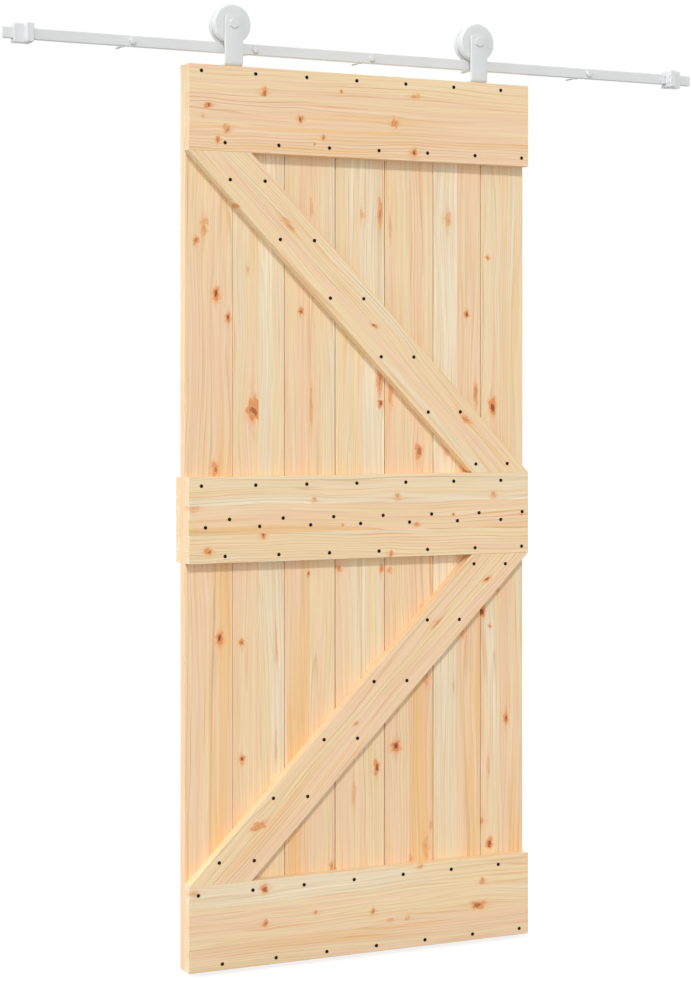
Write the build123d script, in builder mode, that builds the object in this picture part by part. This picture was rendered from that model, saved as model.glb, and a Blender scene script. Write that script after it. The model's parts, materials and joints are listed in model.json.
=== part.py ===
from build123d import *
import os
from math import radians, sin

# A ledged and braced plank door that hangs by two grooved wheels from a bar on the wall.
# X runs along the bar, Y points into the wall and Z points up. The wall's face is the
# plane Y = 0, and the middle wall screw lies on the line X = 0, Z = 0.

# Door leaf
door_width = 900
door_height = 2100
door_offset = -32.5  # from the middle wall screw to the door's middle, as the door stands
plank_count = 7
plank_cover = 132  # from one joint to the next
plank_thickness = 28
plank_gap = 0.5  # open joint between two boards
plank_bevel = 1.2
tongue_length = 8
tongue_thickness = 8
tongue_play = 0.4
batten_thickness = 28  # rails and braces
rail_height = 200
middle_rail_base = 944  # above the door's bottom edge
brace_cut = 157  # length of the level cut at each end of a brace
arris = 2  # bevel along the edges of the rails and braces

# Nails
nail_head_radius = 3.8
nail_head_height = 1
nail_shank = 3
nail_tip = 1
nail_length = 48
long_nail_length = 74  # through the middle rail and the boards into the back rail
nail_drift = 1  # by which the nails stand closer than the boards' joints
nail_pair_spacing = 88

# Track
track_length = 1830
track_height = 25
track_thickness = 12
track_bevel = 1.5
track_over_door = 33
wall_screw_count = 5
wall_screw_pitch = 305
wall_screw_shank_radius = 3.6
wall_screw_thread_radius = 4
wall_screw_thread_length = 52
wall_screw_cone = 7  # the tapered end of the thread
wall_screw_play = 0.3
wall_screw_flats = 14
wall_screw_head_height = 6.4
spacer_length = 51
spacer_radius = 6
hex_bevel = 0.8

# Wheels and their axles
groove_radius = 42
flange_height = 4
flange_thickness = 6
groove_play = 0.5  # from each side of the bar to the flange beside it
wheel_crown = 9  # by which each cheek narrows and stands out beside its flange
rolling_gap = 0.3
axle_radius = 7
axle_play = 0.05
bush_wall = 3
bush_stand_out = 0.3
wheel_side_play = 0.3
axle_washer_radius = 13
axle_washer_thickness = 1.5
axle_hex_flats = 22
axle_head_height = 8.8
axle_nut_height = 11
axle_end = 1.5  # thread standing out of the nut

# Hangers
left_hanger_inset = 115  # from the door's left edge to the strap's middle
right_hanger_inset = 135
strap_width = 45
strap_thickness = 6
strap_bend = 5  # inside radius
strap_above_axle = 27
strap_setback = 5  # behind the front face of the rails
foot_length = 50
foot_corner = 6
foot_screw_radius = 2.5
foot_screw_flats = 8
foot_screw_head_height = 3.5
foot_screw_length = 60
foot_screw_cone = 5
foot_screw_spacing = 24
hole_play = 0.25

# End stops
left_stop_inset = 64  # from the bar's end to the buffer's face
right_stop_inset = 75
stop_body_length = 25
stop_plate_thickness = 6
buffer_thickness = 10
stop_height = 42
stop_wall = 7  # in front of the bar and behind it
stop_reach = 18.5  # by which the plate and buffer stand out in front of the body
stop_play = 0.2
stop_bevel = 1.5
buffer_screw_spacing = 17
buffer_screw_inset = 4.5  # from the buffer's front edge to the first screws
buffer_screw_radius = 1.75
buffer_screw_head_radius = 3.1
buffer_screw_head_height = 2.4
buffer_screw_length = 14
buffer_screw_flats = 2.5
set_screw_radius = 3
set_screw_spacing = 12
set_screw_flats = 3
socket_depth = 1.4

# Sides given to the round outlines of small parts that repeat
nail_head_sides = 6
screw_sides = 8
ring_sides = 14

# Depths, from the wall outwards
track_back = -spacer_length
track_front = track_back - track_thickness
track_middle = (track_back + track_front) / 2
groove_half = track_thickness / 2 + groove_play
rim_half = groove_half + flange_thickness
wheel_half = rim_half + wheel_crown
bush_half = wheel_half + bush_stand_out
front_washer_back = track_middle - bush_half - wheel_side_play
rear_washer_front = track_middle + bush_half + wheel_side_play
strap_back = front_washer_back - axle_washer_thickness
strap_front = strap_back - strap_thickness
nut_front = rear_washer_front + axle_washer_thickness
door_front = strap_front - strap_setback
planks_front = door_front + batten_thickness
planks_back = planks_front + plank_thickness
planks_middle = (planks_front + planks_back) / 2
back_rail_back = planks_back + batten_thickness

# Heights, and places along the bar
axle_height = track_height / 2 + groove_radius + rolling_gap
flange_radius = groove_radius + flange_height
bore_radius = axle_radius + axle_play
bush_radius = bore_radius + bush_wall
door_top = -track_height / 2 - track_over_door
door_bottom = door_top - door_height
door_left = door_offset - door_width / 2
door_right = door_left + door_width
edge_plank = (door_width - (plank_count - 2) * plank_cover) / 2
top_rail_base = door_height - rail_height
middle_rail_top = middle_rail_base + rail_height
hangers = {"left": door_left + left_hanger_inset, "right": door_right - right_hanger_inset}
wall_screw_places = [
    ((number - (wall_screw_count - 1) / 2) * wall_screw_pitch, 0)
    for number in range(wall_screw_count)
]

os.makedirs("parts", exist_ok=True)


def facing(depth):
    """The plane at this depth as the room sees it: X to the right, Z up, its normal to the room."""
    return Plane.XZ.offset(-depth)


def save(builder, name):
    """Labels one finished piece and writes its file."""
    builder.part.label = name
    export_step(builder.part, f"parts/{name}.step")


# Nails. Each has a flat head on the wood and a square shank that tapers to its tip. The wood
# closes round the shank, so it has no hole of its own.


def nails(name, places, length):
    """One group of nails, driven in from the front of the door."""
    tip_start, tip_end = (nail_shank - nail_tip) / 2, (nail_shank + nail_tip) / 2
    with BuildPart() as group:
        with Locations(*[(x, door_front + length / 2, z) for x, z in places]):
            Wedge(nail_shank, length, nail_shank, tip_start, tip_start, tip_end, tip_end)
        with BuildSketch(facing(door_front)):
            with Locations(*places):
                RegularPolygon(nail_head_radius, nail_head_sides)
        extrude(amount=nail_head_height)
    save(group, name)


def nail_row(height, left_inset, shift, right_inset):
    """One nail in each board, this high over the door's bottom. The first and the last are
    set in from the door's edges, and the others lie about its middle, moved by the shift."""
    places = [(door_left + left_inset, door_bottom + height)]
    inner_count = plank_count - 2
    for number in range(inner_count):
        steps = number - (inner_count - 1) / 2
        x = door_offset + shift + steps * (plank_cover - nail_drift)
        places.append((x, door_bottom + height))
    places.append((door_right - right_inset, door_bottom + height))
    return places


# Each brace's two ends, as heights over the door's bottom, and whether it falls to the right.
upper_brace = {"low": middle_rail_top, "high": top_rail_base, "falls_right": True}
lower_brace = {"low": rail_height, "high": middle_rail_base, "falls_right": False}


def brace_left(brace, height):
    """Where a brace's left edge is at this height over the door's bottom."""
    share = (height - brace["low"]) / (brace["high"] - brace["low"])
    if brace["falls_right"]:
        share = 1 - share
    return door_left + (door_width - brace_cut) * share


def nail_pairs(brace, pairs, drop):
    """Pairs of nails down a brace. Each pair is given by the share of the brace's height that
    lies above it and by how far it strays to the right. The right nail sits lower by the drop."""
    places = []
    for share, stray in pairs:
        height = brace["high"] - (brace["high"] - brace["low"]) * share
        middle = brace_left(brace, height) + brace_cut / 2 + stray
        z = door_bottom + height
        places.append((middle - nail_pair_spacing / 2, z + drop / 2))
        places.append((middle + nail_pair_spacing / 2, z - drop / 2))
    return places


nails(
    "top_rail_nails",
    nail_row(door_height - 15.5, 31, -21, 78) + nail_row(top_rail_base + 20.5, 90, 38, 19),
    nail_length,
)
nails(
    "middle_rail_nails",
    nail_row(middle_rail_top - 20, 31, -21, 78)
    + nail_row(middle_rail_base + rail_height / 2 + 1.5, 101, 49, 17.5)
    + nail_row(middle_rail_base + rail_height / 2 - 16.5, 41, -11, 78)
    + nail_row(middle_rail_base + 16, 90, 38, 19),
    long_nail_length,
)
nails(
    "bottom_rail_nails",
    nail_row(rail_height - 21.5, 23.5, -28, 85) + nail_row(14.5, 83, 31, 26),
    nail_length,
)
upper_pairs = [(0.086, 4.5), (0.265, -1.5), (0.444, -5), (0.627, -6.5), (0.803, -10), (0.972, -4.5)]
lower_pairs = [(0.033, -6), (0.21, -3), (0.4, -5.5), (0.575, -7.5), (0.748, -9.5), (0.935, -7.5)]
nails("upper_brace_nails", nail_pairs(upper_brace, upper_pairs, 0), nail_length)
nails("lower_brace_nails", nail_pairs(lower_brace, lower_pairs, 2.6), nail_length)

# Screws that hold the hangers' feet: in each foot one into the top rail and one into a board.
# They too go into the solid wood.

foot_back = strap_front + foot_length
foot_top = door_top + strap_thickness
foot_middle = (strap_back + foot_back) / 2


def screw_points(middles, radius, length, rotation):
    """Square points at the screws' ends. Unturned, they narrow towards +Y."""
    width = 2 * radius * sin(radians(45))
    start, end = (width - nail_tip) / 2, (width + nail_tip) / 2
    with BuildPart() as points:
        with Locations(*middles):
            Wedge(width, length, width, start, start, end, end, rotation=rotation)
    return points.part


for side, x in hangers.items():
    places = [(x, foot_middle - foot_screw_spacing / 2), (x, foot_middle + foot_screw_spacing / 2)]
    point_height = foot_top - foot_screw_length + foot_screw_cone / 2
    point_middles = [(x, y, point_height) for x, y in places]
    with BuildPart() as foot_screws:
        with BuildSketch(Plane.XY.offset(foot_top)):
            with Locations(*places):
                RegularPolygon(foot_screw_flats / 2, 6, major_radius=False)
        extrude(amount=foot_screw_head_height)
        with BuildSketch(Plane.XY.offset(foot_top)):
            with Locations(*places):
                RegularPolygon(foot_screw_radius, screw_sides)
        extrude(amount=foot_screw_cone - foot_screw_length)
        add(screw_points(point_middles, foot_screw_radius, foot_screw_cone, (-90, 0, 0)))
    save(foot_screws, f"{side}_foot_screws")

# Boards, each with a groove in its left edge and a tongue on its right one, apart from the
# door's outer edges. A small bevel along every edge marks the joints.

for number in range(plank_count):
    first, last = number == 0, number == plank_count - 1
    left = door_left if first else door_left + edge_plank + (number - 1) * plank_cover
    right = door_right if last else door_left + edge_plank + number * plank_cover - plank_gap
    with BuildPart() as plank:
        with BuildSketch(Plane.XY.offset(door_bottom)) as section:
            with Locations(((left + right) / 2, planks_middle)):
                Rectangle(right - left, plank_thickness)
            chamfer(section.vertices(), plank_bevel)
            if not last:
                with Locations((right, planks_middle)):
                    Rectangle(tongue_length, tongue_thickness, align=(Align.MIN, Align.CENTER))
            if not first:
                with Locations((left, planks_middle)):
                    Rectangle(
                        tongue_length - plank_gap + tongue_play,
                        tongue_thickness + 2 * tongue_play,
                        align=(Align.MIN, Align.CENTER),
                        mode=Mode.SUBTRACT,
                    )
        extrude(amount=door_height)
    save(plank, f"plank_{number + 1}")

# Rails. Three in front carry the braces between them, and one behind clamps the boards.


def rail(name, base, back):
    """A level rail as wide as the door, with the edges of its open face bevelled."""
    with BuildPart() as board:
        with BuildSketch(facing(back)):
            with Locations((door_left, door_bottom + base)):
                Rectangle(door_width, rail_height, align=(Align.MIN, Align.MIN))
        extrude(amount=batten_thickness)
        open_face = board.faces().sort_by(Axis.Y)[-1 if back > planks_back else 0]
        chamfer(open_face.edges(), arris)
    save(board, name)


rail("top_rail", top_rail_base, planks_front)
rail("middle_rail", middle_rail_base, planks_front)
rail("bottom_rail", 0, planks_front)
rail("back_rail", middle_rail_base, back_rail_back)


def brace_board(name, brace):
    """A slanting board between two rails, cut level at both ends to bear on them."""
    low, high = brace["low"], brace["high"]
    low_left, high_left = brace_left(brace, low), brace_left(brace, high)
    with BuildPart() as board:
        with BuildSketch(facing(planks_front)):
            with BuildLine():
                Polyline(
                    (low_left, door_bottom + low),
                    (low_left + brace_cut, door_bottom + low),
                    (high_left + brace_cut, door_bottom + high),
                    (high_left, door_bottom + high),
                    close=True,
                )
            make_face()
        extrude(amount=batten_thickness)
        open_face = board.faces().sort_by(Axis.Y)[0]
        chamfer(open_face.edges().sort_by(SortBy.LENGTH)[-2:], arris)
    save(board, name)


brace_board("upper_brace", upper_brace)
brace_board("lower_brace", lower_brace)

# Track: a flat bar on five screws, each in a tube that stands it off the wall.

screw_hole_radius = wall_screw_thread_radius + wall_screw_play
with BuildPart() as track_bar:
    with BuildSketch(Plane.YZ.offset(-track_length / 2)) as section:
        with Locations((track_middle, 0)):
            Rectangle(track_thickness, track_height)
        chamfer(section.vertices(), track_bevel)
    extrude(amount=track_length)
    with BuildSketch(facing(track_front)):
        with Locations(*wall_screw_places):
            RegularPolygon(screw_hole_radius, ring_sides)
    extrude(amount=-track_thickness, mode=Mode.SUBTRACT)
save(track_bar, "track_bar")

with BuildPart() as wall_spacers:
    with BuildSketch(facing(track_back)):
        with Locations(*wall_screw_places):
            RegularPolygon(spacer_radius, ring_sides)
            RegularPolygon(screw_hole_radius, ring_sides, mode=Mode.SUBTRACT)
    extrude(amount=-spacer_length)
save(wall_spacers, "wall_spacers")

with BuildPart() as wall_screws:
    with BuildSketch(facing(track_front)):
        with Locations(*wall_screw_places):
            RegularPolygon(wall_screw_flats / 2, 6, major_radius=False)
    extrude(amount=wall_screw_head_height)
    chamfer(wall_screws.edges().group_by(Axis.Y)[0], hex_bevel)
    with BuildSketch(facing(track_front)):
        with Locations(*wall_screw_places):
            RegularPolygon(wall_screw_shank_radius, screw_sides)
    extrude(amount=track_front)
    with BuildSketch(facing(0)):
        with Locations(*wall_screw_places):
            Circle(wall_screw_thread_radius)
    extrude(amount=wall_screw_cone - wall_screw_thread_length)
    point_depth = wall_screw_thread_length - wall_screw_cone / 2
    point_middles = [(x, point_depth, z) for x, z in wall_screw_places]
    add(screw_points(point_middles, wall_screw_shank_radius, wall_screw_cone, (0, 0, 0)))
save(wall_screws, "wall_screws")

# End stops: a body that grips the bar like a collar, its plate, and a buffer screwed to it.

stop_front = track_front - stop_wall - stop_reach
stop_back = track_back + stop_wall


def end_stop(side, face, outward):
    """One stop. Its buffer faces the door at this place, and the rest goes outward from it."""
    plate_face = face + outward * buffer_thickness
    body_face = plate_face + outward * stop_plate_thickness
    body_middle = body_face + outward * stop_body_length / 2
    screw_middle = stop_front + buffer_screw_inset + buffer_screw_spacing / 2

    with BuildPart() as opening:
        with BuildSketch(Plane.YZ.offset(face)):
            with Locations((track_middle, 0)):
                Rectangle(track_thickness + 2 * stop_play, track_height + 2 * stop_play)
        extrude(amount=body_face - face + outward * stop_body_length)

    with BuildPart() as screws:
        with BuildSketch(Plane.YZ.offset(face)):
            with Locations((screw_middle, 0)):
                with GridLocations(buffer_screw_spacing, buffer_screw_spacing, 2, 2):
                    RegularPolygon(buffer_screw_head_radius, screw_sides)
        extrude(amount=-outward * buffer_screw_head_height)
        with BuildSketch(Plane.YZ.offset(face - outward * buffer_screw_head_height)):
            with Locations((screw_middle, 0)):
                with GridLocations(buffer_screw_spacing, buffer_screw_spacing, 2, 2):
                    RegularPolygon(buffer_screw_flats / 2, 6, major_radius=False)
        extrude(amount=outward * socket_depth, mode=Mode.SUBTRACT)
        with BuildSketch(Plane.YZ.offset(face)):
            with Locations((screw_middle, 0)):
                with GridLocations(buffer_screw_spacing, buffer_screw_spacing, 2, 2):
                    RegularPolygon(buffer_screw_radius, screw_sides)
        extrude(amount=outward * buffer_screw_length)
    save(screws, f"{side}_buffer_screws")

    with BuildPart() as buffer:
        with BuildSketch(Plane.YZ.offset(face)):
            with Locations((stop_front, 0)):
                Rectangle(stop_back - stop_front, stop_height, align=(Align.MIN, Align.CENTER))
        extrude(amount=outward * buffer_thickness)
        add(opening.part, mode=Mode.SUBTRACT)
        add(screws.part, mode=Mode.SUBTRACT)
    save(buffer, f"{side}_stop_buffer")

    with BuildPart() as block:
        with BuildSketch(Plane.YZ.offset(body_face)):
            with Locations((track_middle, 0)):
                Rectangle(track_thickness + 2 * stop_wall, stop_height)
        extrude(amount=outward * stop_body_length)
        end = block.faces().sort_by(Axis.X)[-1 if outward > 0 else 0]
        chamfer(end.edges(), stop_bevel)
        with BuildSketch(Plane.YZ.offset(plate_face)):
            with Locations((stop_front, 0)):
                Rectangle(stop_back - stop_front, stop_height, align=(Align.MIN, Align.CENTER))
        extrude(amount=outward * stop_plate_thickness)
        add(opening.part, mode=Mode.SUBTRACT)
        add(screws.part, mode=Mode.SUBTRACT)
        with BuildSketch(Plane.XY):
            with Locations((body_middle, track_middle)):
                with GridLocations(set_screw_spacing, 0, 2, 1):
                    RegularPolygon(set_screw_radius, screw_sides)
        extrude(amount=stop_height, mode=Mode.SUBTRACT)
    save(block, f"{side}_stop_block")

    with BuildPart() as set_screws:
        with BuildSketch(Plane.XY.offset(track_height / 2)):
            with Locations((body_middle, track_middle)):
                with GridLocations(set_screw_spacing, 0, 2, 1):
                    RegularPolygon(set_screw_radius, screw_sides)
        extrude(amount=(stop_height - track_height) / 2)
        with BuildSketch(Plane.XY.offset(stop_height / 2)):
            with Locations((body_middle, track_middle)):
                with GridLocations(set_screw_spacing, 0, 2, 1):
                    RegularPolygon(set_screw_flats / 2, 6, major_radius=False)
        extrude(amount=-2 * socket_depth, mode=Mode.SUBTRACT)
    save(set_screws, f"{side}_set_screws")


end_stop("left", -track_length / 2 + left_stop_inset, -1)
end_stop("right", track_length / 2 - right_stop_inset, 1)

# Hangers. A strap, bent back under the wheel into a foot, carries a bolt, and the wheel turns
# on the bolt's shank by a bush pressed into its bore. Its groove runs on the bar.


def hanger_strap(side, x):
    """The bent strap, round at its top and drilled for the bolt and the foot's screws."""
    arc_middle = axle_height + strap_above_axle - strap_width / 2
    bend_top = foot_top + strap_bend
    with BuildPart() as strap:
        with BuildSketch(facing(strap_back)):
            with Locations((x, arc_middle)):
                Circle(strap_width / 2)
                Rectangle(strap_width, arc_middle - bend_top, align=(Align.CENTER, Align.MAX))
        extrude(amount=strap_thickness)
        with BuildSketch(Plane.YZ.offset(x)) as bend:
            with BuildLine():
                Polyline(
                    (strap_front, bend_top + strap_thickness),
                    (strap_front, door_top),
                    (foot_back, door_top),
                    (foot_back, foot_top),
                    (strap_back, foot_top),
                    (strap_back, bend_top + strap_thickness),
                    close=True,
                )
            make_face()
            outside = bend.vertices().sort_by_distance((strap_front, door_top))[0]
            fillet(outside, strap_bend + strap_thickness)
            inside = bend.vertices().sort_by_distance((strap_back, foot_top))[0]
            fillet(inside, strap_bend)
        extrude(amount=strap_width / 2, both=True)
        fillet(strap.edges().filter_by(Axis.Z).group_by(Axis.Y)[-1], foot_corner)
        with BuildSketch(facing(strap_front)):
            with Locations((x, axle_height)):
                Circle(axle_radius + hole_play)
        extrude(amount=-strap_thickness, mode=Mode.SUBTRACT)
        with BuildSketch(Plane.XY.offset(foot_top)):
            with Locations((x, foot_middle)):
                with GridLocations(0, foot_screw_spacing, 1, 2):
                    RegularPolygon(foot_screw_radius + hole_play, screw_sides)
        extrude(amount=-strap_thickness, mode=Mode.SUBTRACT)
    save(strap, f"{side}_hanger_strap")


axle_places = [(x, axle_height) for x in hangers.values()]

with BuildPart() as axle_bolts:
    with BuildSketch(facing(strap_front)):
        with Locations(*axle_places):
            RegularPolygon(axle_hex_flats / 2, 6, major_radius=False, rotation=30)
    extrude(amount=axle_head_height)
    chamfer(axle_bolts.edges().group_by(Axis.Y)[0], hex_bevel)
    with BuildSketch(facing(strap_front)):
        with Locations(*axle_places):
            Circle(axle_radius)
    extrude(amount=strap_front - nut_front - axle_nut_height - axle_end)
save(axle_bolts, "axle_bolts")

with BuildPart() as axle_nuts:
    with BuildSketch(facing(nut_front)):
        with Locations(*axle_places):
            RegularPolygon(axle_hex_flats / 2, 6, major_radius=False, rotation=30)
    extrude(amount=-axle_nut_height)
    chamfer(axle_nuts.edges().group_by(Axis.Y)[-1], hex_bevel)
    with BuildSketch(facing(nut_front)):
        with Locations(*axle_places):
            Circle(axle_radius)
    extrude(amount=-axle_nut_height, mode=Mode.SUBTRACT)
save(axle_nuts, "axle_nuts")

with BuildPart() as axle_washers:
    for front in (strap_back, rear_washer_front):
        with BuildSketch(facing(front)):
            with Locations(*axle_places):
                RegularPolygon(axle_washer_radius, ring_sides)
                RegularPolygon(axle_radius + hole_play, ring_sides, mode=Mode.SUBTRACT)
        extrude(amount=-axle_washer_thickness)
save(axle_washers, "axle_washers")


def wheel_and_bush(side, x):
    """The wheel, turned from its half section: two bevelled cheeks, a flange on each, and the
    groove between them. The bush is a tube in its bore that stands out at both faces."""
    section_plane = Plane(origin=(x, track_middle, axle_height), x_dir=(0, 1, 0), z_dir=(1, 0, 0))
    axle = Axis((x, track_middle, axle_height), (0, 1, 0))
    rise = (Align.CENTER, Align.MIN)

    with BuildPart() as wheel:
        with BuildSketch(section_plane):
            with BuildLine():
                Polyline(
                    (groove_half, groove_radius),
                    (groove_half, flange_radius),
                    (rim_half, flange_radius),
                    (wheel_half, flange_radius - wheel_crown),
                    (wheel_half, bush_radius),
                    (0, bush_radius),
                    (0, groove_radius),
                    close=True,
                )
            make_face()
            mirror(about=Plane.YZ)
        revolve(axis=axle)
    save(wheel, f"{side}_wheel")

    with BuildPart() as bush:
        with BuildSketch(section_plane):
            Rectangle(2 * bush_half, bush_radius, align=rise)
            Rectangle(2 * bush_half, bore_radius, align=rise, mode=Mode.SUBTRACT)
        revolve(axis=axle)
    save(bush, f"{side}_wheel_bush")


for side, x in hangers.items():
    hanger_strap(side, x)
    wheel_and_bush(side, x)

reach = (flange_radius**2 - (axle_height - stop_height / 2) ** 2) ** 0.5
left_travel = hangers["left"] - reach + track_length / 2 - left_stop_inset
right_travel = track_length / 2 - right_stop_inset - reach - hangers["right"]
print(f"The door slides {left_travel:.1f} mm to the left and {right_travel:.1f} mm to the right.")
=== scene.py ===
# %% [markdown]
# # A sliding plank door on its bar
# The object is a pine door, boarded and braced, that hangs by two grooved wheels from a flat
# bar on the wall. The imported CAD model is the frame: it says where every piece is and how it
# moves. This script gives the pieces their surfaces and finishes. Nearly all of them are worked
# out here as new surfaces, because their looks need rounder edges, finer heads and a grain that
# runs through the wood. The steel bar stays the CAD solid, because its shape is right as it is.

import json
import math

import bpy
import numpy as np
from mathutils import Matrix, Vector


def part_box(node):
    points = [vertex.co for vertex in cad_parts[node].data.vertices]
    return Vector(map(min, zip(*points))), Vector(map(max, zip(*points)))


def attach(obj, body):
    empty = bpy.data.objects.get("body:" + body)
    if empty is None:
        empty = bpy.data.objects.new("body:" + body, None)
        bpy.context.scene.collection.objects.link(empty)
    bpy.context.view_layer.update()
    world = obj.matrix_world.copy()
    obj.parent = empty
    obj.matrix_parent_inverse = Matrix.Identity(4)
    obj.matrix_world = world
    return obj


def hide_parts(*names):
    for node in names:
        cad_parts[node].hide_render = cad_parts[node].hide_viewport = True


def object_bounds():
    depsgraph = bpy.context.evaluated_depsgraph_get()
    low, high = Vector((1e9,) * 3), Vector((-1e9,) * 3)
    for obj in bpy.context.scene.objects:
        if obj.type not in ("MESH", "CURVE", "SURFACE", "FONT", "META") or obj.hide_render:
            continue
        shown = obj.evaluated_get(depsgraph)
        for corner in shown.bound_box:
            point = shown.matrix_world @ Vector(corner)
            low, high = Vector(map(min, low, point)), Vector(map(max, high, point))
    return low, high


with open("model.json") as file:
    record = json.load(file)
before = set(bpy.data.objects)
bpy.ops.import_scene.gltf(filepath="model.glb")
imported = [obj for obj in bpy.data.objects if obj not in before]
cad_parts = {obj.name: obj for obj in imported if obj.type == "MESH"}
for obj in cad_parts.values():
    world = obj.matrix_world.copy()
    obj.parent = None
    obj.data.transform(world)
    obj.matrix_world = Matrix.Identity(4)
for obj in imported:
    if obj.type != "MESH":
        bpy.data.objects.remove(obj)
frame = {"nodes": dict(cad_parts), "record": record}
nodes = frame["nodes"]
cad_low, cad_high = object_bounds()
slot_of = {row["node"]: row["material_slot"] for row in frame["record"]["subparts"]}
members = frame["record"]["behaviour"]["bodies"]
body_of = {node: body for body, group in members.items() for node in group}


def box_of(name):
    """A node's lowest and highest corners, as the two rows of an array."""
    return np.array(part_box(name))


print("CAD box, m:", [round(size, 4) for size in cad_high - cad_low])

# %% [markdown]
# ## The camera
# The photograph looks at the door from its left, level, from the height of a seated person. A
# level camera keeps the boards upright, and the lens is shifted a little instead of tilted, as
# an architect's camera does it. The place and the angle come from fitting the lines of the
# rails, the joints and the bar in perspective.

# %% Camera
camera = bpy.data.objects.new("camera", bpy.data.cameras.new("camera"))
bpy.context.scene.collection.objects.link(camera)
camera.location = (-2.3186, -4.820, -0.8035)
camera.rotation_euler = (math.radians(90), 0, math.radians(-25.3))
camera.data.sensor_width = 36
camera.data.lens = 80.6
camera.data.shift_y = -0.1006
bpy.context.scene.camera = camera
bpy.context.scene.view_settings.view_transform = "Standard"
print("camera lens, mm:", round(camera.data.lens, 1))

# %% [markdown]
# ## Helpers for materials
# A finish is a small network of nodes: textures that vary with the place in the wood or metal,
# and a shader that they feed. It could be drawn by hand in the shader editor. Here each helper
# makes one node, plugs its sockets and gives its output, so that a finish reads like a recipe.


# %% Node helpers
def paint(red, green, blue):
    """A colour as a screen shows it, 0 to 255 a channel, as the linear values a shader takes."""
    shown = np.array([red, green, blue]) / 255
    linear = np.where(shown <= 0.04045, shown / 12.92, ((shown + 0.055) / 1.055) ** 2.4)
    return (*linear.tolist(), 1.0)


def plug(tree, socket, value):
    """Sets a socket, or links it when the value is another node's output."""
    if isinstance(value, bpy.types.NodeSocket):
        tree.links.new(value, socket)
    else:
        socket.default_value = value


def node(tree, kind, sockets=None, **settings):
    """A new shader node with its settings made and its sockets plugged."""
    made = tree.nodes.new("ShaderNode" + kind)
    for name, value in settings.items():
        setattr(made, name, value)
    for name, value in (sockets or {}).items():
        plug(tree, made.inputs[name], value)
    return made


def maths(tree, operation, *values):
    """One sum on numbers."""
    return node(tree, "Math", dict(enumerate(values)), operation=operation).outputs[0]


def centred(tree, value):
    """A value that lies round 0.5, moved to lie round 0."""
    return maths(tree, "SUBTRACT", value, 0.5)


def joined(tree, *values):
    """Two or three numbers as the coordinates of a vector."""
    return node(tree, "CombineXYZ", dict(enumerate(values))).outputs[0]


def on_vectors(tree, operation, first, second):
    """One sum on two vectors."""
    return node(tree, "VectorMath", {0: first, 1: second}, operation=operation).outputs[0]


def noise(tree, place, factors, detail=2.0, roughness=0.5):
    """Cloudy noise, about 0.5 on average. Each factor is the number of clouds to one unit."""
    sockets = {"Vector": on_vectors(tree, "MULTIPLY", place, factors), "Scale": 1.0}
    sockets |= {"Detail": detail, "Roughness": roughness}
    return node(tree, "TexNoise", sockets).outputs[0]


def ease(tree, value, start, end, low=0.0, high=1.0):
    """Goes softly from low to high while the value goes from start to end."""
    sockets = {"Value": value, "From Min": start, "From Max": end, "To Min": low, "To Max": high}
    return node(tree, "MapRange", sockets, interpolation_type="SMOOTHSTEP").outputs[0]


def mixed(tree, factor, first, second):
    """Two colours mixed by a factor."""
    return node(tree, "Mix", {0: factor, 6: first, 7: second}, data_type="RGBA").outputs[2]


print("middle grey as a shader takes it:", round(paint(128, 128, 128)[0], 3))

# %% [markdown]
# A material ends in one Principled shader. A ramp turns a number into a colour, and a bump turns
# a number into a fine relief.


# %% Material helpers
def ramp(tree, value, stops):
    """A colour that goes softly from stop to stop, each a value and its colour."""
    made = node(tree, "ValToRGB", {0: value})
    colours = made.color_ramp
    colours.interpolation = "EASE"
    while len(colours.elements) < len(stops):
        colours.elements.new(0.5)
    for element, (position, colour) in zip(colours.elements, stops.items()):
        element.position = position
        element.color = colour
    return made.outputs[0]


def bumped(tree, shader, height, strength, distance):
    """Makes a number in the network the height of the surface's relief."""
    bump = node(tree, "Bump", {"Height": height, "Strength": strength, "Distance": distance})
    plug(tree, shader.inputs["Normal"], bump.outputs[0])


def new_material(name, roughness, specular=0.5, metallic=0.0):
    """A material with one Principled shader, and its node tree."""
    material = bpy.data.materials.new(name)
    material.use_nodes = True
    shader = material.node_tree.nodes["Principled BSDF"]
    shader.inputs["Roughness"].default_value = roughness
    shader.inputs["Specular IOR Level"].default_value = specular
    shader.inputs["Metallic"].default_value = metallic
    return material, material.node_tree, shader


print("materials so far:", len(bpy.data.materials))

# %% [markdown]
# ## The pine
# Pine is pale cream with soft yellow, pink and orange bands, fine tan growth lines along the
# board and small reddish knots round which the lines bend. A picture would show its seams, so
# the wood is a solid texture instead: the growth lines are shells round an imagined heart of the
# tree, and every board shows a cut through them. The boards are glued up from staves, so each
# stave has its own tone and its own heart. Three attributes on the mesh tell the shader where it
# is: the place in the stave, the stave's look, and the place relative to the nearest knot.

# %% Pine colours
grey_cream, yellow_cream = paint(241, 224, 194), paint(246, 219, 175)
pink, orange = paint(246, 211, 176), paint(246, 200, 142)
tan, pale, late_wood = paint(228, 190, 140), paint(252, 236, 206), paint(206, 164, 110)
knot_halo, knot_body, knot_vein = paint(244, 182, 122), paint(230, 152, 94), paint(170, 80, 44)
knot_heart, resin_streak = paint(138, 58, 30), paint(234, 166, 104)
bands = {0.0: pale, 0.15: grey_cream, 0.4: yellow_cream, 0.67: pink, 0.97: orange}
print("bands of colour:", len(bands))

# %% [markdown]
# The first layer is the bands. They are noise, drawn out along the board: wide and narrow bands
# shift the stave's warmth along the ramp of colours, and fine streaks and fibres lie on top.


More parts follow.
